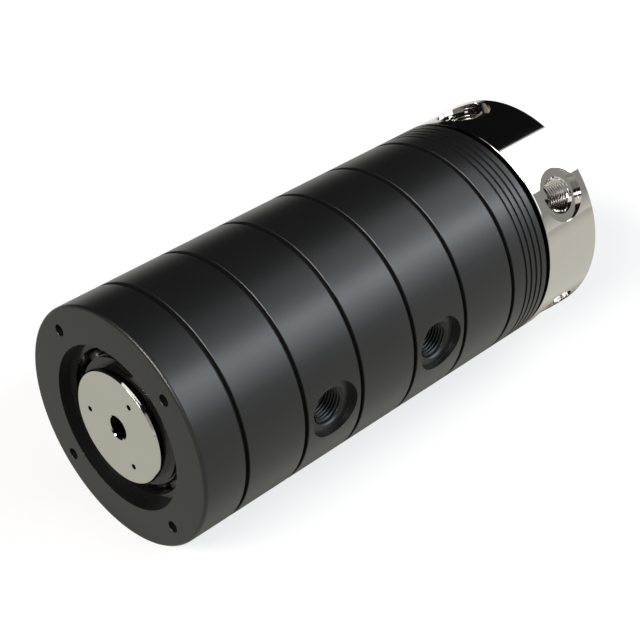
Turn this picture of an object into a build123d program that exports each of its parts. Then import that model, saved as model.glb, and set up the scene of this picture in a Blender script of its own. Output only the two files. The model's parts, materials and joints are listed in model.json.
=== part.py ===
"""Hydraulic rotary union with five passages, in millimetres.

The axis lies along +X, +Z is up, and the origin is the centre of the housing's front face. The
housing is a stack of turned rings held by long screws. The rotor runs in a bearing at each end,
and a sliding ring seals it at every joint of the stack.
"""
from build123d import *
import math
import os

# Housing stack
body_d = 105.0
front_cap_len = 21.5
port_ring_len = 31.5
port_ring_count = 5
rear_cap_len = 23.0
front_round = 1.5
front_mouth_edge = 0.3
joint_step_len = 1.1
joint_step_depth = 1.6
joint_edge = 0.2
joint_lead_edge = 0.4
spigot_d = 96.0
spigot_len = 1.5
spigot_clear = 0.03
end_clear = 0.1
land_clear = 0.3

# Rotor
shaft_d = 50.0
shaft_recess = 0.7
shaft_edge = 0.6
shaft_edge_len = 0.9
shoulder_d = 55.0
head_d = body_d
head_len = 33.0
head_gap = 3.0
head_edge = 0.5
centre_bore_d = 10.0
centre_bore_edge = 0.5
passage_d = 8.0
passage_pitch_r = 15.5
drill_point = 118.0
cross_drill_d = 7.0
port_angle = 54.0
shaft_screw_count = 3
shaft_screw_drill = 2.5
shaft_screw_pcd = 34.0
shaft_screw_depth = 8.0
shaft_screw_angle = 30.0
face_screw_d = 6.0
face_screw_pcd = 80.0
face_screw_depth = 14.0

# Passages and threaded ports
port_thread_d = 16.0
port_thread_len = 14.0
port_mouth_edge = 0.6
ring_spotface_d = 25.0
ring_spotface_depth = 3.5
head_spotface_d = 25.0
head_spotface_depth = 2.4
spotface_round = 0.4
ring_port_drill_d = 9.0
channel_depth = 4.7
channel_len = 10.0

# Rolling bearings, 50 x 72 x 12
bearing_od = 72.0
bearing_len = 12.0
bearing_edge = 0.6
race_land = 2.2
ball_d = 6.35
ball_count = 18
ball_play = 0.125
cage_wall = 0.6
cage_band = 1.6
cage_depth = 2.4
seat_clear = 0.01
washer_edge = 0.3

# Retaining rings
bore_clip_len = 2.5
bore_clip_groove = 1.5
bore_clip_width = 5.4
bore_clip_ear_r = 2.4
shaft_clip_len = 2.0
shaft_clip_groove = 1.5
shaft_clip_width = 4.2
shaft_clip_ear_r = 2.0
clip_ear_offset = 0.8
clip_ear_sink = 0.5
clip_hole_r = 1.1
clip_offset = 0.7
clip_gap = 2.4
clip_side_clear = 0.05
front_clip_x = 5.5
bore_clip_angle = 45.0
shaft_clip_angle = 225.0

# Seals
slide_ring_len = 4.0
slide_ring_wall = 1.95
slide_ring_edge = 0.3
slide_clear = 0.05
energizer_wall = 3.4
squeezed_corner = 0.3
seal_clear = 0.05
oring_groove_d = 74.4
oring_groove_width = 2.2
oring_groove_depth = 1.5
dust_seal_len = 3.7
dust_seal_clear = 0.1
dust_seal_wall = 1.2

# Fasteners
face_hole_d = 5.0
face_hole_pcd = 88.5
face_hole_depth = 9.0
face_hole_count = 4
tie_screw_d = 5.0
tie_hole_d = 5.5
tie_pcd = 86.0
tie_count = 6
tie_grip = 10.5
tie_end_clear = 1.0
tie_thread_clear = 0.05
tie_head_d = 8.5
tie_head_len = 5.0
tie_counterbore_d = 9.5
tie_counterbore_len = 5.6
hex_share = 0.5
plug_len = 8.0
plug_seat_len = 9.0
plug_seat_d = 10.0
plug_clear = 0.1

# Fine grooves round the rear cap
fine_groove_count = 4
fine_groove_pitch = 3.4
fine_groove_len = 1.3
fine_groove_depth = 0.65
fine_groove_x = 9.1

# How far a cutting shape runs on beyond the surface that it leaves
overrun = 1.0

# Places along the axis and radii
body_r = body_d / 2
shaft_r = shaft_d / 2
spigot_r = spigot_d / 2
bearing_r = bearing_od / 2
land_r = shaft_r + land_clear
channel_r = land_r + channel_depth
ball_pitch_r = (shaft_r + bearing_r) / 2
slide_ring_r = shaft_r + slide_clear + slide_ring_wall
seal_recess_r = slide_ring_r + energizer_wall + 2 * seal_clear
seal_recess_len = slide_ring_len + 4 * seal_clear
step_r = body_r - joint_step_depth
recess_depth = spigot_len + end_clear
ring_x = [front_cap_len + port_ring_len * i for i in range(port_ring_count)]
rear_cap_x = front_cap_len + port_ring_len * port_ring_count
joint_x = ring_x + [rear_cap_x]
rear_face_x = rear_cap_x + rear_cap_len
head_x = rear_face_x + head_gap
rotor_end_x = head_x + head_len
front_bearing_x = front_clip_x + bore_clip_len
rear_bearing_x = rear_face_x - dust_seal_len - bearing_len
head_port_x = head_x + head_len / 2
port_step = 360 / port_ring_count

tie_seat_x = rear_face_x - tie_counterbore_len

MIN_ALIGN = (Align.CENTER, Align.CENTER, Align.MIN)


def point_len(radius):
    """Length of the cone that a drill leaves at the end of its hole."""
    return radius / math.tan(math.radians(drill_point / 2))


def turned(points):
    """Solid of revolution about the axis from an outline of (x, radius) points."""
    return revolve(Polygon(*points, align=None), Axis.X, 360)


def turned_band(x0, x1, r0, r1, corner):
    """Ring of rectangular section with bevelled corners."""
    return turned([
        (x0, r0 + corner),
        (x0 + corner, r0),
        (x1 - corner, r0),
        (x1, r0 + corner),
        (x1, r1 - corner),
        (x1 - corner, r1),
        (x0 + corner, r1),
        (x0, r1 - corner),
    ])


def axial_rod(x0, x1, pitch_r, angle, radius):
    """Cylinder parallel to the axis, at a pitch radius and an angle from +Z."""
    rod = Rot(Y=90) * Cylinder(radius, x1 - x0, align=MIN_ALIGN)
    return Rot(X=angle) * Pos(x0, 0, pitch_r) * rod


def drilled(x0, x1, pitch_r, angle, radius):
    """Blind axial hole from x0 to x1, with a drill point beyond x1."""
    sense = 1 if x1 > x0 else -1
    tip = Rot(Y=90 * sense) * Cone(radius, 0, point_len(radius), align=MIN_ALIGN)
    hole = axial_rod(min(x0, x1), max(x0, x1), pitch_r, angle, radius)
    return hole + Rot(X=angle) * Pos(x1, 0, pitch_r) * tip


def circle_of(count, first=0.0):
    """Angles from +Z of a circle of equal features."""
    return [first + 360 * i / count for i in range(count)]


def port_tool(x, angle, outer_r, spotface_d, spotface_depth, drill_d, inner_r):
    """Everything that one threaded port removes: spotface, thread bore, mouth edge and drill."""
    seat = outer_r - spotface_depth
    bore_r = port_thread_d / 2
    spot_r = spotface_d / 2
    drill_r = drill_d / 2
    floor = seat - port_thread_len
    cone_len = point_len(bore_r) - point_len(drill_r)
    above = outer_r + overrun
    outline = Polyline(
        (0, inner_r),
        (drill_r, inner_r),
        (drill_r, floor - cone_len),
        (bore_r, floor),
        (bore_r, seat - port_mouth_edge),
        (bore_r + port_mouth_edge, seat),
        (spot_r - spotface_round, seat),
    )
    corner = JernArc(outline @ 1, (1, 0), spotface_round, 90)
    rest = Polyline(corner @ 1, (spot_r, above), (0, above), (0, inner_r))
    section = Plane.XZ * make_face(outline + corner + rest)
    return Rot(X=angle) * Pos(x, 0, 0) * revolve(section, Axis.Z, 360)


def ring_port_angle(index):
    """Ports of neighbouring rings leave on opposite sides, so that their hoses stay apart."""
    return 90.0 if index % 2 else 270.0


def spigot_groove(joint):
    """Face groove for the joint's O-ring, cut into a spigot's end."""
    end = joint + spigot_len
    inner = oring_groove_d / 2
    points = [
        (end - oring_groove_depth, inner),
        (end + overrun, inner),
        (end + overrun, inner + oring_groove_width),
        (end - oring_groove_depth, inner + oring_groove_width),
    ]
    return turned(points)


def seal_recess(joint):
    """Recess behind a joint that holds the sliding ring and its energizer."""
    floor = joint + recess_depth
    points = [
        (floor - overrun, 0),
        (floor + seal_recess_len, 0),
        (floor + seal_recess_len, seal_recess_r),
        (floor - overrun, seal_recess_r),
    ]
    return turned(points)


def front_outline(joint):
    """Points of a ring's front side, outwards: spigot recess, lip, stepped edge."""
    return [
        (joint + recess_depth, spigot_r),
        (joint, spigot_r),
        (joint, step_r),
        (joint + joint_step_len, step_r),
        (joint + joint_step_len, body_r - joint_lead_edge),
        (joint + joint_step_len + joint_lead_edge, body_r),
    ]


def rear_outline(joint):
    """Points of a ring's rear side, inwards: stepped edge, shoulder, spigot."""
    fit_r = spigot_r - spigot_clear
    return [
        (joint - joint_step_len - joint_edge, body_r),
        (joint - joint_step_len, body_r - joint_edge),
        (joint - joint_step_len, step_r),
        (joint, step_r),
        (joint, fit_r),
        (joint + spigot_len, fit_r),
    ]


def front_cap():
    rear = front_cap_len
    groove_x0 = front_clip_x - clip_side_clear
    groove_x1 = front_bearing_x + clip_side_clear
    groove_r = bearing_r + bore_clip_groove
    mouth = front_mouth_edge
    outline = [
        (0, body_r - front_round),
        (0, bearing_r + mouth),
        (mouth, bearing_r),
        (groove_x0, bearing_r),
        (groove_x0, groove_r),
        (groove_x1, groove_r),
        (groove_x1, bearing_r),
        (rear + spigot_len, bearing_r),
        *reversed(rear_outline(rear)),
        (front_round, body_r),
    ]
    edge = Polyline(*outline)
    arc = JernArc(edge @ 1, (-1, 0), front_round, 90)
    cap = revolve(make_face(edge + arc), Axis.X, 360)
    cap -= spigot_groove(rear)
    for angle in circle_of(face_hole_count, 45.0):
        cap -= drilled(-overrun, face_hole_depth, face_hole_pcd / 2, angle, face_hole_d / 2)
    for angle in circle_of(tie_count):
        cap -= drilled(rear + spigot_len + overrun, tie_grip - tie_end_clear, tie_pcd / 2,
                       angle, tie_screw_d / 2)
    return cap


def port_ring(index):
    front = ring_x[index]
    rear = front + port_ring_len
    middle = front + port_ring_len / 2
    channel_x0 = middle - channel_len / 2
    channel_x1 = middle + channel_len / 2
    outline = [
        *front_outline(front),
        *rear_outline(rear),
        (rear + spigot_len, land_r),
        (channel_x1, land_r),
        (channel_x1, channel_r),
        (channel_x0, channel_r),
        (channel_x0, land_r),
        (front + recess_depth, land_r),
    ]
    ring = turned(outline)
    ring -= seal_recess(front)
    ring -= spigot_groove(rear)
    ring -= port_tool(middle, ring_port_angle(index), body_r, ring_spotface_d,
                      ring_spotface_depth, ring_port_drill_d, land_r + overrun)
    for angle in circle_of(tie_count):
        ring -= axial_rod(front - overrun, rear + spigot_len + overrun, tie_pcd / 2, angle,
                          tie_hole_d / 2)
    return ring


def rear_cap():
    front = rear_cap_x
    grooves = []
    for i in reversed(range(fine_groove_count)):
        middle = front + fine_groove_x + i * fine_groove_pitch
        grooves += [
            (middle + fine_groove_len / 2, body_r),
            (middle, body_r - fine_groove_depth),
            (middle - fine_groove_len / 2, body_r),
        ]
    outline = [
        (front + recess_depth, land_r),
        (rear_bearing_x, land_r),
        (rear_bearing_x, bearing_r),
        (rear_face_x, bearing_r),
        (rear_face_x, body_r - joint_edge),
        (rear_face_x - joint_edge, body_r),
        *grooves,
        *reversed(front_outline(front)),
    ]
    cap = turned(outline)
    cap -= seal_recess(front)
    end = rear_face_x + overrun
    for angle in circle_of(tie_count):
        cap -= axial_rod(front - overrun, end, tie_pcd / 2, angle, tie_hole_d / 2)
        cap -= axial_rod(tie_seat_x, end, tie_pcd / 2, angle, tie_counterbore_d / 2)
    return cap


def socket_screw(angle):
    """Long socket head screw from the rear cap into the front cap."""
    end = tie_seat_x + tie_head_len
    radius = tie_screw_d / 2 - tie_thread_clear
    shank = axial_rod(tie_grip, tie_seat_x, tie_pcd / 2, angle, radius)
    head = axial_rod(tie_seat_x, end, tie_pcd / 2, angle, tie_head_d / 2)
    return shank + head - hex_socket(end, tie_pcd / 2, angle, tie_head_d * hex_share)


def hex_socket(end_x, pitch_r, angle, across):
    """Hexagon recess that opens towards +X, as deep as half its width."""
    hexagon = RegularPolygon(across / 2, 6, major_radius=False)
    prism = extrude(hexagon, across / 2 + overrun)
    return Rot(X=angle) * Pos(end_x - across / 2, 0, pitch_r) * Rot(Y=90) * prism


def tie_screws():
    return Compound(children=[socket_screw(angle) for angle in circle_of(tie_count)])


def joint_oring(index):
    x0 = joint_x[index] + spigot_len - oring_groove_depth
    x1 = joint_x[index] + recess_depth
    inner = oring_groove_d / 2
    corner = min(oring_groove_depth, oring_groove_width) * squeezed_corner
    return turned_band(x0 + seal_clear, x1 - seal_clear, inner + seal_clear,
                       inner + oring_groove_width - seal_clear, corner)


def slide_ring(index):
    middle = joint_x[index] + recess_depth + seal_recess_len / 2
    return turned_band(middle - slide_ring_len / 2, middle + slide_ring_len / 2,
                       shaft_r + slide_clear, slide_ring_r, slide_ring_edge)


def energizer_oring(index):
    middle = joint_x[index] + recess_depth + seal_recess_len / 2
    half = slide_ring_len / 2 - seal_clear
    corner = min(slide_ring_len, energizer_wall) * squeezed_corner
    return turned_band(middle - half, middle + half, slide_ring_r + seal_clear,
                       seal_recess_r - seal_clear, corner)


def ball_track(x0):
    """Section of the ball track, which both rings of a bearing share."""
    return Pos(x0 + bearing_len / 2, ball_pitch_r) * Circle(ball_d / 2 + ball_play)


def outer_ring(x0):
    x1 = x0 + bearing_len
    outer = bearing_r - seat_clear
    edge = bearing_edge
    outline = Polygon(
        (x0, ball_pitch_r + race_land),
        (x1, ball_pitch_r + race_land),
        (x1, outer - edge),
        (x1 - edge, outer),
        (x0 + edge, outer),
        (x0, outer - edge),
        align=None,
    )
    return revolve(outline - ball_track(x0), Axis.X, 360)


def inner_ring(x0):
    x1 = x0 + bearing_len
    inner = shaft_r + seat_clear
    edge = bearing_edge
    outline = Polygon(
        (x0, ball_pitch_r - race_land),
        (x0, inner + edge),
        (x0 + edge, inner),
        (x1 - edge, inner),
        (x1, inner + edge),
        (x1, ball_pitch_r - race_land),
        align=None,
    )
    return revolve(outline - ball_track(x0), Axis.X, 360)


def balls(x0):
    """The whole set of balls, a ball at every pitch."""
    ball = Pos(x0 + bearing_len / 2, 0, ball_pitch_r) * Sphere(ball_d / 2)
    return Compound(children=[Rot(X=angle) * ball for angle in circle_of(ball_count)])


def cage(x0):
    """Ribbon cage: a flat band between the balls that bulges round each of them."""
    middle = x0 + bearing_len / 2
    pocket_r = ball_d / 2 + ball_play
    inner = ball_pitch_r - cage_depth / 2
    outer = ball_pitch_r + cage_depth / 2
    reach = pocket_r + cage_wall
    limits = turned([(middle - reach, inner), (middle + reach, inner),
                     (middle + reach, outer), (middle - reach, outer)])
    bulge = Pos(middle, 0, ball_pitch_r) * Cylinder(reach, 2 * cage_depth)
    pocket = Pos(middle, 0, ball_pitch_r) * Cylinder(pocket_r, 3 * cage_depth)
    band = turned([(middle - cage_band / 2, inner), (middle + cage_band / 2, inner),
                   (middle + cage_band / 2, outer), (middle - cage_band / 2, outer)])
    bulges = [Rot(X=angle) * bulge & limits for angle in circle_of(ball_count)]
    pockets = [Rot(X=angle) * pocket for angle in circle_of(ball_count)]
    return (band + bulges) - pockets


def retaining_ring(x0, length, plate, ear_pitch_r, ear_r, angle):
    """Plate with two eared ends and a gap between them, placed across the axis."""
    side = clip_gap / 2 + ear_r * clip_ear_offset
    ears = [Pos(sign * side, ear_pitch_r) for sign in (-1, 1)]
    plate = plate + [ear * Circle(ear_r) for ear in ears]
    plate -= [ear * Circle(clip_hole_r) for ear in ears]
    plate -= Pos(0, ear_pitch_r) * Rectangle(clip_gap, 6 * ear_r)
    flat = extrude(plate, length)
    across = Plane(origin=(x0, 0, 0), x_dir=(0, 1, 0), z_dir=(1, 0, 0))
    return Rot(X=angle) * (across * flat)


def housing_circlip():
    """Ring for a bore: its ears point inwards, and it is widest opposite them."""
    outer = bearing_r + bore_clip_groove - seal_clear
    inner = outer - bore_clip_width
    plate = Circle(outer) - Pos(0, clip_offset) * Circle(inner)
    length = bore_clip_len - clip_side_clear
    return retaining_ring(front_clip_x, length, plate, inner + clip_ear_sink, bore_clip_ear_r,
                          bore_clip_angle)


def shaft_circlip():
    """Ring for a shaft: its ears point outwards, and it is widest opposite them."""
    inner = shaft_r - shaft_clip_groove + seal_clear
    outer = inner + shaft_clip_width
    plate = Pos(0, -clip_offset) * Circle(outer) - Circle(inner)
    x0 = front_bearing_x - shaft_clip_len - clip_side_clear
    return retaining_ring(x0, shaft_clip_len, plate, outer - clip_ear_sink, shaft_clip_ear_r,
                          shaft_clip_angle)


def backing_washer():
    """Closes the first seal recess and carries the front bearing."""
    x0 = front_bearing_x + bearing_len
    x1 = front_cap_len + recess_depth
    return turned_band(x0, x1, land_r, bearing_r - spigot_clear, washer_edge)


def dust_seal():
    """Rubber-covered ring with a lip that runs on the shoulder of the rotor."""
    x0 = rear_face_x - dust_seal_len
    x1 = rear_face_x
    outer = bearing_r - spigot_clear
    lip = shoulder_d / 2 + dust_seal_clear
    wall = dust_seal_wall
    return turned([
        (x0, outer),
        (x1, outer),
        (x1, outer - wall),
        (x0 + wall, outer - wall),
        (x0 + wall, lip + 2 * wall),
        (x1, lip + wall / 2),
        (x1, lip),
        (x0, lip + wall),
    ])


def rotor_blank():
    """Shaft, shoulder and head turned in one piece, with the centre bore."""
    front = shaft_recess
    shoulder_x = rear_bearing_x + bearing_len
    groove_r = shaft_r - shaft_clip_groove
    groove_x0 = front_bearing_x - shaft_clip_len - 2 * clip_side_clear
    head_r = head_d / 2
    bore_r = centre_bore_d / 2
    edge = centre_bore_edge
    return turned([
        (front, bore_r + edge),
        (front, shaft_r - shaft_edge),
        (front + shaft_edge_len, shaft_r),
        (groove_x0, shaft_r),
        (groove_x0, groove_r),
        (front_bearing_x, groove_r),
        (front_bearing_x, shaft_r),
        (shoulder_x, shaft_r),
        (shoulder_x, shoulder_d / 2),
        (head_x, shoulder_d / 2),
        (head_x, head_r - head_edge),
        (head_x + head_edge, head_r),
        (rotor_end_x - head_edge, head_r),
        (rotor_end_x, head_r - head_edge),
        (rotor_end_x, bore_r + edge),
        (rotor_end_x - edge, bore_r),
        (front + edge, bore_r),
    ])


def rotor():
    solid = rotor_blank()
    plug_floor = rotor_end_x - plug_seat_len
    for index, angle in enumerate(circle_of(port_ring_count, port_angle)):
        middle = ring_x[index] + port_ring_len / 2
        solid -= port_tool(head_port_x, angle, head_d / 2, head_spotface_d,
                           head_spotface_depth, cross_drill_d, passage_pitch_r)
        solid -= drilled(rotor_end_x + overrun, middle - cross_drill_d / 2, passage_pitch_r, angle,
                         passage_d / 2)
        outlet = Cylinder(cross_drill_d / 2, shaft_r, align=MIN_ALIGN)
        solid -= Rot(X=angle) * Pos(middle, 0, passage_pitch_r) * outlet
        solid -= axial_rod(plug_floor, rotor_end_x + overrun, passage_pitch_r, angle,
                           plug_seat_d / 2)
    for angle in circle_of(port_ring_count, port_angle + port_step / 2):
        solid -= drilled(rotor_end_x + overrun, rotor_end_x - face_screw_depth,
                         face_screw_pcd / 2, angle, face_screw_d / 2)
    for angle in circle_of(shaft_screw_count, shaft_screw_angle):
        solid -= drilled(shaft_recess - overrun, shaft_recess + shaft_screw_depth,
                         shaft_screw_pcd / 2, angle, shaft_screw_drill / 2)
    return solid


def passage_plugs():
    """Screw plugs that close the drilled ends of the passages."""
    plugs = []
    floor = rotor_end_x - plug_seat_len
    radius = plug_seat_d / 2 - plug_clear
    for angle in circle_of(port_ring_count, port_angle):
        plug = axial_rod(floor, floor + plug_len, passage_pitch_r, angle, radius)
        plug -= hex_socket(floor + plug_len, passage_pitch_r, angle, plug_seat_d * hex_share)
        plugs.append(plug)
    return Compound(children=plugs)


def all_parts():
    parts = {
        "front_cap": front_cap(),
        "rear_cap": rear_cap(),
        "tie_screws": tie_screws(),
        "housing_circlip": housing_circlip(),
        "shaft_circlip": shaft_circlip(),
        "backing_washer": backing_washer(),
        "dust_seal": dust_seal(),
        "rotor": rotor(),
        "passage_plugs": passage_plugs(),
    }
    for index in range(port_ring_count):
        parts[f"port_ring_{index + 1}"] = port_ring(index)
    for index in range(len(joint_x)):
        parts[f"joint_oring_{index + 1}"] = joint_oring(index)
        parts[f"slide_ring_{index + 1}"] = slide_ring(index)
        parts[f"energizer_oring_{index + 1}"] = energizer_oring(index)
    for end, x0 in (("front", front_bearing_x), ("rear", rear_bearing_x)):
        parts[f"{end}_outer_ring"] = outer_ring(x0)
        parts[f"{end}_inner_ring"] = inner_ring(x0)
        parts[f"{end}_balls"] = balls(x0)
        parts[f"{end}_cage"] = cage(x0)
    return parts


os.makedirs("parts", exist_ok=True)
for name, shape in all_parts().items():
    export_step(shape, os.path.join("parts", f"{name}.step"))
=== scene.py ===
import json
import math
import bpy
import bmesh
from mathutils import Matrix, Vector


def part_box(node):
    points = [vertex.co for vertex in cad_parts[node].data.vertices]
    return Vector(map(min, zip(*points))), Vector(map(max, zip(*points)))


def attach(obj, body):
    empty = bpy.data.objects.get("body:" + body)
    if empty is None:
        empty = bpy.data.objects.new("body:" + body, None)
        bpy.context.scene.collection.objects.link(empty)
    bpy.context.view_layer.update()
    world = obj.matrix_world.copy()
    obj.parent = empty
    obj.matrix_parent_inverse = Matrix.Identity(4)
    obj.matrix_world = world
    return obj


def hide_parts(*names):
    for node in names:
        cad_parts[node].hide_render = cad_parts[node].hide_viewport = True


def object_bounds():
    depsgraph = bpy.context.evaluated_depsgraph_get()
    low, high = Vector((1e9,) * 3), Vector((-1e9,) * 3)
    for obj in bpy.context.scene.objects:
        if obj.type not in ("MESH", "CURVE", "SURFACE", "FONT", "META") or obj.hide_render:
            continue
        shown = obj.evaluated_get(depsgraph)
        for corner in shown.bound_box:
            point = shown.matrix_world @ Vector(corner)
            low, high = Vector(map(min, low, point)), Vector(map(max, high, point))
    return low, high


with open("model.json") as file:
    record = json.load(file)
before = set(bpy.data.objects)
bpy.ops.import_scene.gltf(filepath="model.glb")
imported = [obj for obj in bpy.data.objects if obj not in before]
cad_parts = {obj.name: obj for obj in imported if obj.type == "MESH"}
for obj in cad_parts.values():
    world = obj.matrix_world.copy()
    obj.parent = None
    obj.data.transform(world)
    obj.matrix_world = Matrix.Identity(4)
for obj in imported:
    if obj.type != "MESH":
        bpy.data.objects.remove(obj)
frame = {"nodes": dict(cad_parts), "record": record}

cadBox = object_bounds()
nodes = frame["nodes"]
mm = 0.001  # sizes are in millimetres; the floor and its shades are in metres
clear = 1.0  # how far a cutter reaches past the surface it cuts
print("frame loaded:", len(nodes), "nodes")


class Wire:
    # wraps a socket so that plain sums build Math nodes
    def __init__(self, sheet, socket):
        self.sheet = sheet
        self.socket = socket

    def __add__(self, other):
        return self.sheet.maths("ADD", self, other)

    def __radd__(self, other):
        return self.sheet.maths("ADD", other, self)

    def __sub__(self, other):
        return self.sheet.maths("SUBTRACT", self, other)

    def __rsub__(self, other):
        return self.sheet.maths("SUBTRACT", other, self)

    def __mul__(self, other):
        return self.sheet.maths("MULTIPLY", self, other)

    def __rmul__(self, other):
        return self.sheet.maths("MULTIPLY", other, self)

    def __truediv__(self, other):
        return self.sheet.maths("DIVIDE", self, other)

    def __rtruediv__(self, other):
        return self.sheet.maths("DIVIDE", other, self)

    def __neg__(self):
        return self.sheet.maths("SUBTRACT", 0.0, self)

    def clamped(self):
        return self.sheet.maths("MAXIMUM", self.sheet.maths("MINIMUM", self, 1.0), 0.0)


def withAlpha(colour):
    return colour if isinstance(colour, Wire) else (*colour, 1)


class Sheet:
    # the node tree of a material or of the world
    def __init__(self, tree):
        self.tree = tree
        tree.nodes.clear()

    def node(self, kind, settings=None, inputs=None, output=0):
        made = self.tree.nodes.new(kind)
        for key, value in (settings or {}).items():
            setattr(made, key, value)
        for key, value in (inputs or {}).items():
            socket = made.inputs[key]
            if isinstance(value, Wire):
                self.tree.links.new(value.socket, socket)
            else:
                socket.default_value = value
        return Wire(self, made.outputs[output]) if len(made.outputs) else made

    def maths(self, operation, *values):
        return self.node("ShaderNodeMath", {"operation": operation}, dict(enumerate(values)))

    def vector(self, operation, first, second):
        inputs = {0: first, 3 if operation == "SCALE" else 1: second}
        return self.node("ShaderNodeVectorMath", {"operation": operation}, inputs)

    def mixColour(self, factor, first, second):
        inputs = {0: factor, 6: withAlpha(first), 7: withAlpha(second)}
        return self.node("ShaderNodeMix", {"data_type": "RGBA"}, inputs, 2)

    def place(self):
        # the point in the piece's own frame, in millimetres
        point = self.node("ShaderNodeTexCoord", output="Object")
        return self.vector("MULTIPLY", point, (1 / mm, 1 / mm, 1 / mm))

    def parts(self, vector):
        first = self.node("ShaderNodeSeparateXYZ", None, {0: vector})
        return [Wire(self, output) for output in first.socket.node.outputs]

    def noise(self, point, perMm, kind):
        inputs = {"Vector": point, "Scale": perMm, **kind}
        return self.node("ShaderNodeTexNoise", {"noise_dimensions": "3D"}, inputs)

    def bump(self, height, strength, depthMm):
        inputs = {"Height": height, "Strength": strength, "Distance": depthMm * mm}
        return self.node("ShaderNodeBump", None, inputs)


def newMaterial(name, constants, paint, values):
    material = bpy.data.materials.new(name)
    material.use_nodes = True
    sheet = Sheet(material.node_tree)
    inputs = {**constants, **paint(sheet, values)}
    shader = sheet.node("ShaderNodeBsdfPrincipled", None, inputs)
    sheet.node("ShaderNodeOutputMaterial", None, {"Surface": shader})
    return material


cloudNoise = {"Detail": 3.0, "Roughness": 0.5}
grainNoise = {"Detail": 2.0, "Roughness": 0.6}
softNoise = {"Detail": 2.0, "Roughness": 0.5}
fineNoise = {"Detail": 1.0, "Roughness": 0.5}

anodising = {
    "colour": (0.0045, 0.0046, 0.0047),
    "worn": (0.0065, 0.0065, 0.0064),
    "cloudsPerMm": 0.05,
    "cloudShare": 0.7,
    "roughness": 0.37,
    "roughnessSpread": 0.05,
    "grainMm": 0.42,
    "fineRatio": 2.6,
    "fineShare": 0.5,
    "grainStrength": 0.55,
    "grainDepthMm": 0.018,
}


def paintAnodised(sheet, values):
    point = sheet.place()
    cloud = sheet.noise(point, values["cloudsPerMm"], cloudNoise)
    grain = sheet.noise(point, 1 / values["grainMm"], grainNoise)
    fine = sheet.noise(point, values["fineRatio"] / values["grainMm"], fineNoise)
    share = values["cloudShare"]
    colour = sheet.mixColour(cloud * share + grain * (1 - share), values["colour"], values["worn"])
    spread = values["roughnessSpread"]
    rough = values["roughness"] + (cloud - 0.5) * spread + (fine - 0.5) * spread
    height = grain + fine * values["fineShare"]
    normal = sheet.bump(height, values["grainStrength"], values["grainDepthMm"])
    return {"Base Color": colour, "Roughness": rough, "Normal": normal}


nickel = {
    "colour": (0.670, 0.636, 0.602),
    "shade": (0.640, 0.606, 0.572),
    "cloudsPerMm": 0.08,
    "roughness": 0.058,
    "cloudSpread": 0.03,
    "turnedSpread": 0.04,
    "turnedMm": 0.16,
    "turnedStrength": 0.35,
    "turnedDepthMm": 0.0007,
}
steel = {"cloudsPerMm": 0.35, "cloudSpread": 0.10, "turnedSpread": 0.08, "turnedStrength": 0.4}
groundSteel = {
    **steel,
    "colour": (0.150, 0.147, 0.142),
    "shade": (0.110, 0.108, 0.105),
    "roughness": 0.36,
    "turnedMm": 0.20,
    "turnedDepthMm": 0.001,
}
pressedSteel = {
    **steel,
    "colour": (0.100, 0.098, 0.094),
    "shade": (0.065, 0.063, 0.060),
    "roughness": 0.42,
    "turnedMm": 0.5,
    "turnedDepthMm": 0.004,
}
springSteel = {  # black all over, so it's lit by its clear film and not as bare metal
    **steel,
    "colour": (0.008, 0.008, 0.008),
    "shade": (0.005, 0.005, 0.005),
    "roughness": 0.13,
    "turnedMm": 0.4,
    "turnedDepthMm": 0.001,
}
blackOxide = {
    **steel,
    "colour": (0.070, 0.068, 0.066),
    "shade": (0.045, 0.044, 0.043),
    "roughness": 0.36,
    "turnedMm": 0.3,
    "turnedDepthMm": 0.003,
}
turnedSteel = {
    **steel,
    "colour": (0.42, 0.41, 0.39),
    "shade": (0.34, 0.33, 0.32),
    "roughness": 0.28,
    "turnedMm": 0.25,
    "turnedDepthMm": 0.003,
}


def paintTurned(sheet, values):
    # fine rings round the axis, as a lathe tool leaves them, under faint clouds
    point = sheet.place()
    x, y, z = sheet.parts(point)
    radius = sheet.maths("SQRT", y * y + z * z)
    rings = sheet.node("ShaderNodeCombineXYZ", None, {0: x, 1: radius})
    lines = sheet.noise(rings, 1 / values["turnedMm"], grainNoise)
    cloud = sheet.noise(point, values["cloudsPerMm"], cloudNoise)
    colour = sheet.mixColour(cloud, values["colour"], values["shade"])
    rough = values["roughness"] + (cloud - 0.5) * values["cloudSpread"]
    rough = rough + (lines - 0.5) * values["turnedSpread"]
    normal = sheet.bump(lines, values["turnedStrength"], values["turnedDepthMm"])
    return {"Base Color": colour, "Roughness": rough, "Normal": normal}


moulded = {
    "cloudsPerMm": 0.6,
    "cloudSpread": 0.12,
    "grainsPerMm": 6.0,
    "grainStrength": 0.3,
    "grainDepthMm": 0.01,
}
slidePlastic = {
    **moulded,
    "colour": (0.20, 0.115, 0.045),
    "shade": (0.13, 0.075, 0.030),
    "roughness": 0.45,
}
nitrileRubber = {
    **moulded,
    "colour": (0.012, 0.012, 0.012),
    "shade": (0.020, 0.020, 0.019),
    "roughness": 0.62,
}


def paintMoulded(sheet, values):
    # rubber and slide plastic: mottled, with a faint grain from the mould
    point = sheet.place()
    cloud = sheet.noise(point, values["cloudsPerMm"], cloudNoise)
    grain = sheet.noise(point, values["grainsPerMm"], softNoise)
    colour = sheet.mixColour(cloud, values["colour"], values["shade"])
    rough = values["roughness"] + (cloud - 0.5) * values["cloudSpread"]
    normal = sheet.bump(grain, values["grainStrength"], values["grainDepthMm"])
    return {"Base Color": colour, "Roughness": rough, "Normal": normal}


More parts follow.
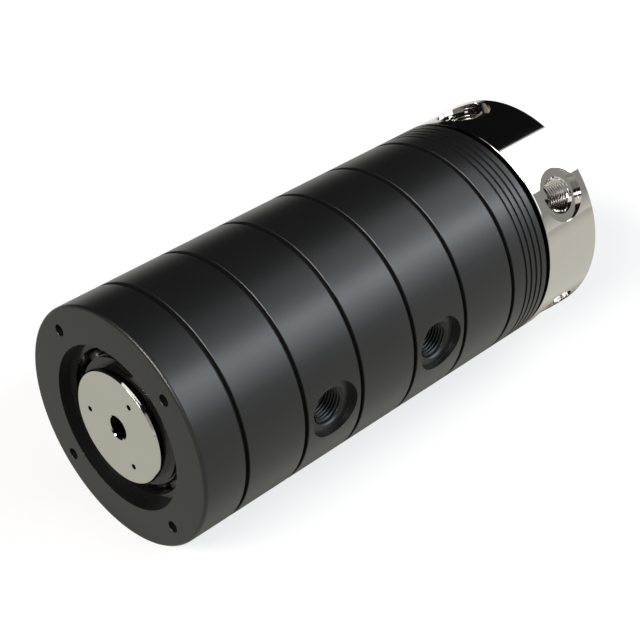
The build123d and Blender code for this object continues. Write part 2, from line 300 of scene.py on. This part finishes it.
bareMetal = {"Metallic": 1.0}
finishes = {
    "anodised_housing": newMaterial("blackAnodised", {"IOR": 1.5}, paintAnodised, anodising),
    "nickel_rotor": newMaterial("nickelPlate", bareMetal, paintTurned, nickel),
    "bearing_steel": newMaterial("groundSteel", bareMetal, paintTurned, groundSteel),
    "cage_steel": newMaterial("pressedSteel", bareMetal, paintTurned, pressedSteel),
    "clip_steel": newMaterial("springSteel", {"IOR": 1.38}, paintTurned, springSteel),
    "screw_steel": newMaterial("blackOxide", bareMetal, paintTurned, blackOxide),
    "washer_steel": newMaterial("turnedSteel", bareMetal, paintTurned, turnedSteel),
    "slide_plastic": newMaterial("filledFluoropolymer", {}, paintMoulded, slidePlastic),
    "seal_rubber": newMaterial("nitrileRubber", {}, paintMoulded, nitrileRubber),
}
print("finishes ready:", len(finishes))


def rounded(outline):
    # points are (x, radius) or (x, radius, corner radius, steps), where the corner is an arc
    result = []
    count = len(outline)
    for index, entry in enumerate(outline):
        here = Vector(entry[:2])
        if len(entry) == 2:
            result.append(here)
            continue
        corner, steps = entry[2:]
        back = (Vector(outline[index - 1][:2]) - here).normalized()
        ahead = (Vector(outline[(index + 1) % count][:2]) - here).normalized()
        half = back.angle(ahead) / 2
        reach = corner / math.tan(half)
        middle = here + (back + ahead).normalized() * (corner / math.sin(half))
        first = here + back * reach - middle
        last = here + ahead * reach - middle
        turn = first.angle_signed(last)
        for step in range(steps + 1):
            spin = Matrix.Rotation(-turn * step / steps, 2)
            result.append(middle + spin @ first)
    return result


def onCircle(x, r, angle):
    # a point at a radius round the axis, with the angle from overhead towards the port side
    return (x * mm, -r * math.sin(angle) * mm, r * math.cos(angle) * mm)


def meshFrom(name, verts, faces):
    mesh = bpy.data.meshes.new(name)
    mesh.from_pydata(verts, [], faces)
    work = bmesh.new()
    work.from_mesh(mesh)
    bmesh.ops.recalc_face_normals(work, faces=work.faces)
    work.to_mesh(mesh)
    work.free()
    return mesh


def latheMesh(outline, steps, closed=True):
    # turns an outline about X, and a point on the axis becomes one pole
    verts = []
    rings = []
    for x, r in outline:
        if r == 0:
            rings.append([len(verts)] * steps)
            verts.append((x * mm, 0, 0))
            continue
        rings.append(list(range(len(verts), len(verts) + steps)))
        verts += [onCircle(x, r, 2 * math.pi * i / steps) for i in range(steps)]
    faces = []
    pairs = len(rings) if closed else len(rings) - 1
    for k in range(pairs):
        here = rings[k]
        there = rings[(k + 1) % len(rings)]
        for i in range(steps):
            j = (i + 1) % steps
            face = list(dict.fromkeys([here[i], there[i], there[j], here[j]]))
            if len(face) > 2:
                faces.append(face)
    return meshFrom("lathe", verts, faces)


def newObject(name, mesh):
    made = bpy.data.objects.new(name, mesh)
    bpy.context.scene.collection.objects.link(made)
    return made


def joined(spots):
    # one mesh from pairs of a mesh and its place
    work = bmesh.new()
    for mesh, matrix in spots:
        copy = mesh.copy()
        copy.transform(matrix)
        work.from_mesh(copy)
        bpy.data.meshes.remove(copy)
    mesh = bpy.data.meshes.new("joined")
    work.to_mesh(mesh)
    work.free()
    return mesh


def applied(piece):
    # the mesh becomes what its modifiers make of it
    graph = bpy.context.evaluated_depsgraph_get()
    graph.update()
    done = bpy.data.meshes.new_from_object(piece.evaluated_get(graph))
    piece.modifiers.clear()
    piece.data = done


def carve(piece, cutters):
    for mesh in cutters:
        tool = newObject("tool", mesh)
        modifier = piece.modifiers.new("carve", "BOOLEAN")
        modifier.operation = "DIFFERENCE"
        modifier.solver = "EXACT"
        modifier.object = tool
        applied(piece)
        bpy.data.objects.remove(tool)


shading = {"sharpAngle": 30.0, "rotorSharpAngle": 25.0, "faceWeight": 80}


def finished(piece, slot, body, *replaced, sharpAngle=shading["sharpAngle"]):
    # smooth shading with sharp edges kept, the finish, the body and the nodes it stands for
    mesh = piece.data
    mesh.polygons.foreach_set("use_smooth", [True] * len(mesh.polygons))
    mesh.set_sharp_from_angle(angle=math.radians(sharpAngle))
    weighted = piece.modifiers.new("weighted", "WEIGHTED_NORMAL")
    weighted.keep_sharp = True
    weighted.weight = shading["faceWeight"]
    applied(piece)
    piece.data.materials.clear()
    piece.data.materials.append(finishes[slot])
    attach(piece, body)
    if replaced:
        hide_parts(*replaced)


def aroundAxis(angle, x=0.0, height=0.0):
    # local Z points outwards at that angle, from x along the axis and a height off it
    lift = Matrix.Translation((x * mm, 0, height * mm))
    return Matrix.Rotation(math.radians(angle), 4, "X") @ lift


upFromX = Matrix.Rotation(math.radians(-90), 4, "Y")
halfTurn = Matrix.Rotation(math.pi, 4, "Z")

ridgeForm = {
    "overlap": 0.02,
    "fadeTurns": 0.6,
    # across one pitch: how far along, in pitches, and how far from root to crest
    "section": [(-0.47, 0.0), (-0.17, 0.80), (-0.08, 0.97), (0.0, 1.0),
                (0.08, 0.97), (0.17, 0.80), (0.47, 0.0)],
}


def threadRidge(thread):
    # a ridge that winds down a tapped hole from local X = 0 to -length and fades at both ends
    steps = thread["steps"]
    root = thread["majorR"] + ridgeForm["overlap"]
    depth = thread["minorR"] - root
    total = int(thread["length"] / thread["pitch"] * steps)
    fade = steps * ridgeForm["fadeTurns"]
    section = ridgeForm["section"]
    width = len(section)
    verts = []
    for i in range(total + 1):
        rise = min(1.0, i / fade, (total - i) / fade)
        for along, up in section:
            x = (along - i / steps) * thread["pitch"]
            verts.append(onCircle(x, root + depth * up * rise, 2 * math.pi * i / steps))
    faces = [tuple(range(width)), tuple(range(total * width, (total + 1) * width))]
    for i in range(total):
        for k in range(width):
            a = i * width + k
            b = i * width + (k + 1) % width
            faces.append((a, b, b + width, a + width))
    return meshFrom("thread", verts, faces)


stack = {
    "outerR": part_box("port_ring_1")[1].z / mm,
    "capEnd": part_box("port_ring_1")[0].x / mm,
    "ringLength": 31.5,
    "ringCount": 5,
    "stepLength": 1.1,
    "rearStepLength": 1.2,
    "stepDepth": 2.0,
    "leadEdge": 0.22,
    "leadRound": 0.05,
    "edge": 0.1,
    "edgeSteps": 2,
    "spigotR": 48.0,
    "spigotLength": 1.5,
    "recessLength": 1.6,
    "fit": 0.03,
    "landR": 25.3,
    "bearingR": 36.0,
    "sealR": 30.5,
    "sealEnd": 5.8,
    "channelR": 30.0,
    "channelLength": 10.0,
    "tieR": 43.0,
    "tieHoleR": 2.75,
    "tieCount": 6,
    "tieSteps": 32,
    "steps": 288,
}
capRearX = stack["capEnd"] + stack["ringLength"] * stack["ringCount"]
stepR = stack["outerR"] - stack["stepDepth"]


def frontSide(x):
    # recess for the spigot before it, then the low step of the joint groove and its bevel
    step = x + stack["stepLength"]
    corner = (stack["leadRound"], stack["edgeSteps"])
    return [
        (x + stack["recessLength"], stack["spigotR"]),
        (x, stack["spigotR"]),
        (x, stepR),
        (step, stepR),
        (step, stack["outerR"] - stack["leadEdge"], *corner),
        (step + stack["leadEdge"], stack["outerR"], *corner),
    ]


def rearSide(x):
    # the other half of the groove, then the spigot
    step = x - stack["rearStepLength"]
    spigotR = stack["spigotR"] - stack["fit"]
    return [
        (step, stack["outerR"], stack["edge"], stack["edgeSteps"]),
        (step, stepR),
        (x, stepR),
        (x, spigotR),
        (x + stack["spigotLength"], spigotR),
    ]


def tieHoles(x0, x1, radius):
    outline = [(x0, 0.0), (x0, radius), (x1, radius), (x1, 0.0)]
    tool = latheMesh(outline, stack["tieSteps"], closed=False)
    count = stack["tieCount"]
    return joined([(tool, aroundAxis(360 * i / count, 0, stack["tieR"])) for i in range(count)])


frontCap = {
    "roundR": 1.5,
    "roundSteps": 10,
    "mouth": 0.12,
    "mouthSteps": 3,
    "clipFrom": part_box("housing_circlip")[0].x / mm - 0.05,
    "clipTo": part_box("front_outer_ring")[0].x / mm + 0.05,
    "clipR": 37.5,
    "holeR": 2.5,
    "holePitchR": 44.25,
    "holeDepth": 9.0,
    "holeTip": 1.5,
    "holeMouth": 0.12,
    "holeSteps": 48,
    "holeAngles": [45, 135, 225, 315],
    "tieTapR": 2.5,
    "tieTapDepth": 12.0,
}
capThread = {"majorR": 2.5, "minorR": 2.1, "pitch": 0.8, "length": 4.8, "start": 4.0, "steps": 40}


def makeFrontCap():
    rear = stack["capEnd"]
    outline = rounded([
        (0, stack["outerR"], frontCap["roundR"], frontCap["roundSteps"]),
        *rearSide(rear),
        (rear + stack["spigotLength"], stack["bearingR"]),
        (frontCap["clipTo"], stack["bearingR"]),
        (frontCap["clipTo"], frontCap["clipR"]),
        (frontCap["clipFrom"], frontCap["clipR"]),
        (frontCap["clipFrom"], stack["bearingR"]),
        (0, stack["bearingR"], frontCap["mouth"], frontCap["mouthSteps"]),
    ])
    piece = newObject("frontCapBody", latheMesh(outline, stack["steps"]))
    r = frontCap["holeR"]
    mouth = frontCap["holeMouth"]
    depth = frontCap["holeDepth"]
    hole = latheMesh([
        (-clear, 0.0),
        (-clear, r + mouth),
        (0, r + mouth),
        (mouth, r),
        (depth, r),
        (depth + frontCap["holeTip"], 0.0),
    ], frontCap["holeSteps"], closed=False)
    pitchR = frontCap["holePitchR"]
    angles = frontCap["holeAngles"]
    spigotEnd = rear + stack["spigotLength"] + clear
    carve(piece, [
        joined([(hole, aroundAxis(angle, 0, pitchR)) for angle in angles]),
        tieHoles(rear - frontCap["tieTapDepth"], spigotEnd, frontCap["tieTapR"]),
    ])
    finished(piece, "anodised_housing", "housing", "front_cap")
    ridge = threadRidge(capThread)
    spots = [(ridge, aroundAxis(angle, capThread["start"], pitchR) @ halfTurn) for angle in angles]
    finished(newObject("frontCapThreads", joined(spots)), "anodised_housing", "housing")


makeFrontCap()
print("front cap ready")

ringPort = {
    "seat": 3.5,
    "spotR": 12.5,
    "corner": 0.12,
    "boreR": 8.0,
    "length": 14.0,
    "mouth": 0.6,
    "drillR": 4.5,
    "inner": 27.0,
    "threadStart": 0.75,
    "farAngle": 270,
    "nearAngle": 90,
}
headPort = {
    "seat": 2.4,
    "spotR": 12.5,
    "corner": 0.05,
    "boreR": 8.0,
    "length": 14.0,
    "mouth": 0.6,
    "drillR": 3.5,
    "inner": 15.5,
    "threadStart": 0.8,
}
portCut = {"drillSlope": 31, "cornerSteps": 6, "steps": 128}
portThread = {"majorR": 8.0, "minorR": 7.22, "pitch": 1.5, "length": 13.0, "steps": 72}


def portCutter(port, outerR):
    # spotface, tapped bore and drill as one turned tool along local X
    seat = outerR - port["seat"]
    bottom = seat - port["length"]
    cone = (port["boreR"] - port["drillR"]) * math.tan(math.radians(portCut["drillSlope"]))
    outline = rounded([
        (port["inner"], 0.0),
        (port["inner"], port["drillR"]),
        (bottom - cone, port["drillR"]),
        (bottom, port["boreR"]),
        (seat - port["mouth"], port["boreR"]),
        (seat, port["boreR"] + port["mouth"]),
        (seat, port["spotR"], port["corner"], portCut["cornerSteps"]),
        (outerR + clear, port["spotR"]),
        (outerR + clear, 0.0),
    ])
    return latheMesh(outline, portCut["steps"], closed=False)


def makePortRing(index):
    front = stack["capEnd"] + stack["ringLength"] * index
    rear = front + stack["ringLength"]
    middle = (front + rear) / 2
    half = stack["channelLength"] / 2
    outline = rounded([
        *frontSide(front),
        *rearSide(rear),
        (rear + stack["spigotLength"], stack["landR"]),
        (middle + half, stack["landR"]),
        (middle + half, stack["channelR"]),
        (middle - half, stack["channelR"]),
        (middle - half, stack["landR"]),
        (front + stack["sealEnd"], stack["landR"]),
        (front + stack["sealEnd"], stack["sealR"]),
        (front + stack["recessLength"], stack["sealR"]),
    ])
    name = "portRing%d" % (index + 1)
    piece = newObject(name + "Body", latheMesh(outline, stack["steps"]))
    angle = ringPort["nearAngle"] if index % 2 else ringPort["farAngle"]
    port = portCutter(ringPort, stack["outerR"])
    port.transform(aroundAxis(angle, middle) @ upFromX)
    spigotEnd = rear + stack["spigotLength"] + clear
    carve(piece, [port, tieHoles(front - clear, spigotEnd, stack["tieHoleR"])])
    finished(piece, "anodised_housing", "housing", "port_ring_%d" % (index + 1))
    ridge = threadRidge(portThread)
    start = stack["outerR"] - ringPort["seat"] - ringPort["threadStart"]
    ridge.transform(aroundAxis(angle, middle, start) @ upFromX)
    finished(newObject(name + "Thread", ridge), "anodised_housing", "housing")


for ringIndex in range(stack["ringCount"]):
    makePortRing(ringIndex)
print("port rings ready")

rearCap = {
    "grooveStart": 9.1,
    "groovePitch": 3.4,
    "grooveWidth": 1.2,
    "grooveDepth": 0.65,
    "grooveCount": 4,
    "grooveLip": (0.08, 2),
    "grooveFoot": (0.15, 2),
    "edge": (0.2, 3),
    "counterR": 4.75,
    "counterDepth": 5.6,
    "bearingX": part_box("rear_outer_ring")[0].x / mm,
}


def makeRearCap():
    front = capRearX
    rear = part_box("rear_cap")[1].x / mm
    outer = stack["outerR"]
    deep = outer - rearCap["grooveDepth"]
    half = rearCap["grooveWidth"] / 2
    grooves = []
    for i in range(rearCap["grooveCount"]):
        x = front + rearCap["grooveStart"] + i * rearCap["groovePitch"]
        grooves += [(x - half, outer, *rearCap["grooveLip"]), (x - half, deep, *rearCap["grooveFoot"]),
                    (x + half, deep, *rearCap["grooveFoot"]), (x + half, outer, *rearCap["grooveLip"])]
    outline = rounded([
        *frontSide(front),
        *grooves,
        (rear, outer, *rearCap["edge"]),
        (rear, stack["bearingR"]),
        (rearCap["bearingX"], stack["bearingR"]),
        (rearCap["bearingX"], stack["landR"]),
        (front + stack["sealEnd"], stack["landR"]),
        (front + stack["sealEnd"], stack["sealR"]),
        (front + stack["recessLength"], stack["sealR"]),
    ])
    piece = newObject("rearCapBody", latheMesh(outline, stack["steps"]))
    carve(piece, [
        tieHoles(front - clear, rear + clear, stack["tieHoleR"]),
        tieHoles(rear - rearCap["counterDepth"], rear + clear, rearCap["counterR"]),
    ])
    finished(piece, "anodised_housing", "housing", "rear_cap")


makeRearCap()
print("rear cap ready")

rotor = {
    "frontX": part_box("rotor")[0].x / mm,
    "endX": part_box("rotor")[1].x / mm,
    "headX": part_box("rear_cap")[1].x / mm + 3.0,
    "shaftR": 25.0,
    "shaftEdge": 0.6,
    "shaftEdgeLength": 0.9,
    "shaftRound": (0.10, 2),
    "clipR": 23.5,
    "clipFrom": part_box("shaft_circlip")[0].x / mm - 0.05,
    "clipTo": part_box("front_inner_ring")[0].x / mm,
    "shoulderX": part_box("rear_inner_ring")[1].x / mm,
    "shoulderR": 27.5,
    "headR": 52.5,
    "headEdge": (0.5, 5),
    "boreR": 5.0,
    "boreEdge": 0.5,
    "portCount": 5,
    "firstAngle": 54.0,
    "passageR": 4.0,
    "passagePitchR": 15.5,
    "passageTip": 2.0,
    "crossR": 3.5,
    "plugR": 5.0,
    "plugDepth": 9.0,
    "shaftHoleR": 1.25,
    "shaftHolePitchR": 17.0,
    "shaftHoleDepth": 8.0,
    "shaftHoleTip": 0.6,
    "shaftHoleSteps": 32,
    "shaftHoleAngles": [30, 150, 270],
    "faceHoleR": 3.0,
    "faceHolePitchR": 40.0,
    "faceHoleDepth": 14.0,
    "faceHoleTip": 1.8,
    "holeSteps": 40,
    "steps": 320,
}
faceThread = {"majorR": 3.0, "minorR": 2.5, "pitch": 1.0, "length": 12.5, "start": 0.5, "steps": 40}


def straightTool(x0, x1, radius, tip=0.0, steps=rotor["holeSteps"]):
    outline = [(x0, 0.0), (x0, radius), (x1, radius), (x1 + tip, 0.0)]
    return latheMesh(outline, steps, closed=False)


def makeRotor():
    front, end, head = rotor["frontX"], rotor["endX"], rotor["headX"]
    boreR, boreEdge, shaftR = rotor["boreR"], rotor["boreEdge"], rotor["shaftR"]
    outline = rounded([
        (front, boreR + boreEdge),
        (front, shaftR - rotor["shaftEdge"], *rotor["shaftRound"]),
        (front + rotor["shaftEdgeLength"], shaftR, *rotor["shaftRound"]),
        (rotor["clipFrom"], shaftR),
        (rotor["clipFrom"], rotor["clipR"]),
        (rotor["clipTo"], rotor["clipR"]),
        (rotor["clipTo"], shaftR),
        (rotor["shoulderX"], shaftR),
        (rotor["shoulderX"], rotor["shoulderR"]),
        (head, rotor["shoulderR"]),
        (head, rotor["headR"], *rotor["headEdge"]),
        (end, rotor["headR"], *rotor["headEdge"]),
        (end, boreR + boreEdge),
        (end - boreEdge, boreR),
        (front + boreEdge, boreR),
    ])
    piece = newObject("rotorBody", latheMesh(outline, rotor["steps"]))
    middle = (head + end) / 2
    pitchR = rotor["passagePitchR"]
    pitch = 360 / rotor["portCount"]
    portAngles = [rotor["firstAngle"] + pitch * i for i in range(rotor["portCount"])]
    for index, angle in enumerate(portAngles):
        port = portCutter(headPort, rotor["headR"])
        port.transform(aroundAxis(angle, middle) @ upFromX)
        ringMiddle = stack["capEnd"] + stack["ringLength"] * (index + 0.5)
        deepest = ringMiddle - rotor["crossR"]
        passage = straightTool(end + clear, deepest, rotor["passageR"], -rotor["passageTip"])
        passage.transform(aroundAxis(angle, 0, pitchR))
        outlet = straightTool(pitchR, shaftR + clear, rotor["crossR"])
        outlet.transform(aroundAxis(angle, ringMiddle) @ upFromX)
        plugSeat = straightTool(end - rotor["plugDepth"], end + clear, rotor["plugR"])
        plugSeat.transform(aroundAxis(angle, 0, pitchR))
        carve(piece, [port, passage, outlet, plugSeat])
    facePitchR = rotor["faceHolePitchR"]
    faceAngles = [angle + pitch / 2 for angle in portAngles]
    faceBottom = end - rotor["faceHoleDepth"]
    faceHole = straightTool(end + clear, faceBottom, rotor["faceHoleR"], -rotor["faceHoleTip"])
    shaftHole = straightTool(front - clear, front + rotor["shaftHoleDepth"], rotor["shaftHoleR"],
                             rotor["shaftHoleTip"], rotor["shaftHoleSteps"])
    carve(piece, [
        joined([(faceHole, aroundAxis(a, 0, facePitchR)) for a in faceAngles]),
        joined([(shaftHole, aroundAxis(a, 0, rotor["shaftHolePitchR"]))
                for a in rotor["shaftHoleAngles"]]),
    ])
    sharpAngle = shading["rotorSharpAngle"]
    finished(piece, "nickel_rotor", "rotor", "rotor", sharpAngle=sharpAngle)
    ridge = threadRidge(portThread)
    start = rotor["headR"] - headPort["seat"] - headPort["threadStart"]
    spots = [(ridge, aroundAxis(a, middle, start) @ upFromX) for a in portAngles]
    finished(newObject("rotorPortThreads", joined(spots)), "nickel_rotor", "rotor")
    ridge = threadRidge(faceThread)
    spots = [(ridge, aroundAxis(a, end - faceThread["start"], facePitchR)) for a in faceAngles]
    finished(newObject("rotorFaceThreads", joined(spots)), "nickel_rotor", "rotor")


makeRotor()
print("rotor ready")

ballSet = {"radius": 3.175, "pitchR": 30.5, "count": 18, "subdivisions": 4}


def makeBalls(end):
    low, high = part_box(end + "_balls")
    x = (low.x + high.x) / 2 / mm
    work = bmesh.new()
    for i in range(ballSet["count"]):
        spot = aroundAxis(360 * i / ballSet["count"], x, ballSet["pitchR"])
        bmesh.ops.create_icosphere(work, subdivisions=ballSet["subdivisions"],
                                   radius=ballSet["radius"] * mm, matrix=spot)
    mesh = bpy.data.meshes.new("balls")
    work.to_mesh(mesh)
    work.free()
    piece = newObject(end + "BallSet", mesh)
    finished(piece, "bearing_steel", end + "_ball_set", end + "_balls")


for bearingEnd in ("front", "rear"):
    makeBalls(bearingEnd)
print("bearings ready")

slotOf = {entry["node"]: entry["material_slot"] for entry in frame["record"]["subparts"]}
for nodeName, node in nodes.items():  # the pieces that stay as they come take their finish
    node.data.materials.clear()
    node.data.materials.append(finishes[slotOf[nodeName]])


def ramp(value, start, length):
    # rises from 0 at the start to 1 a length further; a negative length runs the other way
    return ((value - start) / length).clamped()


# in metres; each ramp is its start and its length, along the part (x) or across it (y)
floor = {
    "size": 6.0,
    "middleX": 0.1,
    "colour": (0.26, 0.26, 0.26),
    "glow": 0.71,
    "bounce": (0.71, 0.71, 0.65),
    "bounceAlong": (-0.016, 0.08),
    "frontBounce": (0.58, 0.585, 0.525),
    "farBounce": (0.92, 0.92, 0.87),
    "farAlong": (0.0, 0.1),
    "farAcross": (0.06, 0.16),
    "fade": 0.24,
    "fadeAcross": (0.9, -0.65),
    "underShade": 0.15,
    "underAlong": (-0.009, 0.03),
    "underAcross": (-0.052, 0.026),
    "underAlongEnd": (cadBox[1][0] + 0.09, -0.05),
    "underAcrossEnd": (0.20, -0.08),
}


def makeFloor():
    work = bmesh.new()
    bmesh.ops.create_grid(work, x_segments=2, y_segments=2, size=floor["size"] / 2)
    mesh = bpy.data.meshes.new("floor")
    work.to_mesh(mesh)
    work.free()
    piece = newObject("floor", mesh)
    piece.location = (floor["middleX"], 0, cadBox[0][2])
    material = bpy.data.materials.new("palePaper")
    material.use_nodes = True
    sheet = Sheet(material.node_tree)
    x, y, z = sheet.parts(sheet.node("ShaderNodeNewGeometry", output="Position"))
    # reflections see a glowing card instead of the lit floor: painted light, with painted shade under
    # the part, dimmer in front and far out to the sides, brighter on the far side
    far = ramp(x, *floor["farAlong"]) * ramp(y, *floor["farAcross"])
    under = ramp(x, *floor["underAlong"]) * ramp(x, *floor["underAlongEnd"])
    under = under * ramp(y, *floor["underAcross"]) * ramp(y, *floor["underAcrossEnd"])
    near = ramp(sheet.maths("ABSOLUTE", y), *floor["fadeAcross"])
    strength = (1 - floor["fade"] * (1 - near)) * (1 - under * (1 - floor["underShade"]))
    bounce = ramp(x, *floor["bounceAlong"])
    bounce = sheet.mixColour(bounce, floor["frontBounce"], floor["bounce"])
    bounce = sheet.mixColour(far, bounce, floor["farBounce"])
    bounce = sheet.vector("SCALE", bounce, strength)
    paper = sheet.node("ShaderNodeBsdfDiffuse", None, {"Color": (*floor["colour"], 1)})
    glow = sheet.node("ShaderNodeEmission", None, {"Strength": floor["glow"]})
    seen = sheet.node("ShaderNodeAddShader", None, {0: paper, 1: glow})
    card = sheet.node("ShaderNodeEmission", None, {"Color": bounce})
    camera = sheet.node("ShaderNodeLightPath", output="Is Camera Ray")
    both = sheet.node("ShaderNodeMixShader", None, {0: camera, 1: card, 2: seen})
    sheet.node("ShaderNodeOutputMaterial", None, {"Surface": both})
    mesh.materials.append(material)


makeFloor()

# each light is a soft-edged window in the sky: turn is in degrees about the part's axis, from
# overhead towards the port side, rise in degrees above the horizon in front of the part, and
# the third number is how soft the edge is
studio = {
    "box": {"turn": (-6, 48, 3), "along": (0.60, 1.10, 0.05), "colour": (2.3, 2.35, 2.4)},
    "strip": {"turn": (37, 48, 3), "along": (0.05, 0.92, 0.10), "colour": (6.6, 7.4, 8.1)},
    "fill": {"turn": (48, 68, 4), "along": (0.00, 0.65, 0.05), "colour": (2.9, 3.2, 3.4)},
    "front": {"rise": (54, 74, 4), "across": (-0.43, 0.35, 0.05), "colour": (1.25, 1.22, 1.18)},
    "lower": {"rise": (33, 46, 3), "across": (-0.37, 0.20, 0.06), "colour": (31, 29.4, 28.7)},
    "wall": (0.33, 0.33, 0.32),
    "wallTurn": (46, 6),
    "horizon": (0.38, 0.38, 0.35),
    "horizonHeight": (0.2, -0.2),
    "farHorizon": (0.36, 0.35, 0.33),
    "farHorizonHeight": (0.03, -0.03),
    "dark": (0.0065, 0.0065, 0.007),
}


def window(value, low, high, soft):
    return ((value - low) / soft + 0.5).clamped() * ((high - value) / soft + 0.5).clamped()


def makeWorld():
    world = bpy.data.worlds.new("studio")
    bpy.context.scene.world = world
    world.use_nodes = True
    sheet = Sheet(world.node_tree)
    x, y, z = sheet.parts(sheet.node("ShaderNodeTexCoord", output="Generated"))
    turn = sheet.maths("ARCTAN2", -y, z) * (180 / math.pi)
    rise = sheet.maths("ARCTAN2", z, -x) * (180 / math.pi)
    wall = ramp(turn, *studio["wallTurn"])
    amounts = {
        "wall": wall,
        "horizon": wall * ramp(z, *studio["horizonHeight"]),
        "farHorizon": (1 - wall) * ramp(z, *studio["farHorizonHeight"]),
    }
    total = studio["dark"]
    for name, amount in amounts.items():
        total = sheet.vector("ADD", total, sheet.vector("SCALE", studio[name], amount))
    for name in ("box", "strip", "fill", "front", "lower"):
        light = studio[name]
        if "turn" in light:
            amount = window(turn, *light["turn"]) * window(x, *light["along"])
        else:
            amount = window(rise, *light["rise"]) * window(y, *light["across"])
        total = sheet.vector("ADD", total, sheet.vector("SCALE", light["colour"], amount))
    room = sheet.node("ShaderNodeBackground", None, {"Color": total, "Strength": 1.0})
    white = sheet.node("ShaderNodeBackground", None, {"Strength": 1.0})
    camera = sheet.node("ShaderNodeLightPath", output="Is Camera Ray")
    result = sheet.node("ShaderNodeMixShader", None, {0: camera, 1: room, 2: white})
    sheet.node("ShaderNodeOutputWorld", None, {"Surface": result})


makeWorld()

view = {
    "lens": 89.22,
    "sensor": 36.0,
    "place": (-283.49, -396.00, 391.64),
    "direction": (1, 1, -1),
    "nearest": 0.01,
    "furthest": 50,
}


def makeCamera():
    data = bpy.data.cameras.new("camera")
    data.lens = view["lens"]
    data.sensor_width = view["sensor"]
    data.sensor_fit = "HORIZONTAL"
    data.clip_start = view["nearest"]
    data.clip_end = view["furthest"]
    camera = bpy.data.objects.new("camera", data)
    bpy.context.scene.collection.objects.link(camera)
    camera.location = Vector(view["place"]) * mm
    camera.rotation_euler = Vector(view["direction"]).to_track_quat("-Z", "Y").to_euler()
    bpy.context.scene.camera = camera
    bpy.context.scene.view_settings.view_transform = "Standard"


makeCamera()
print("floor, light and camera ready")
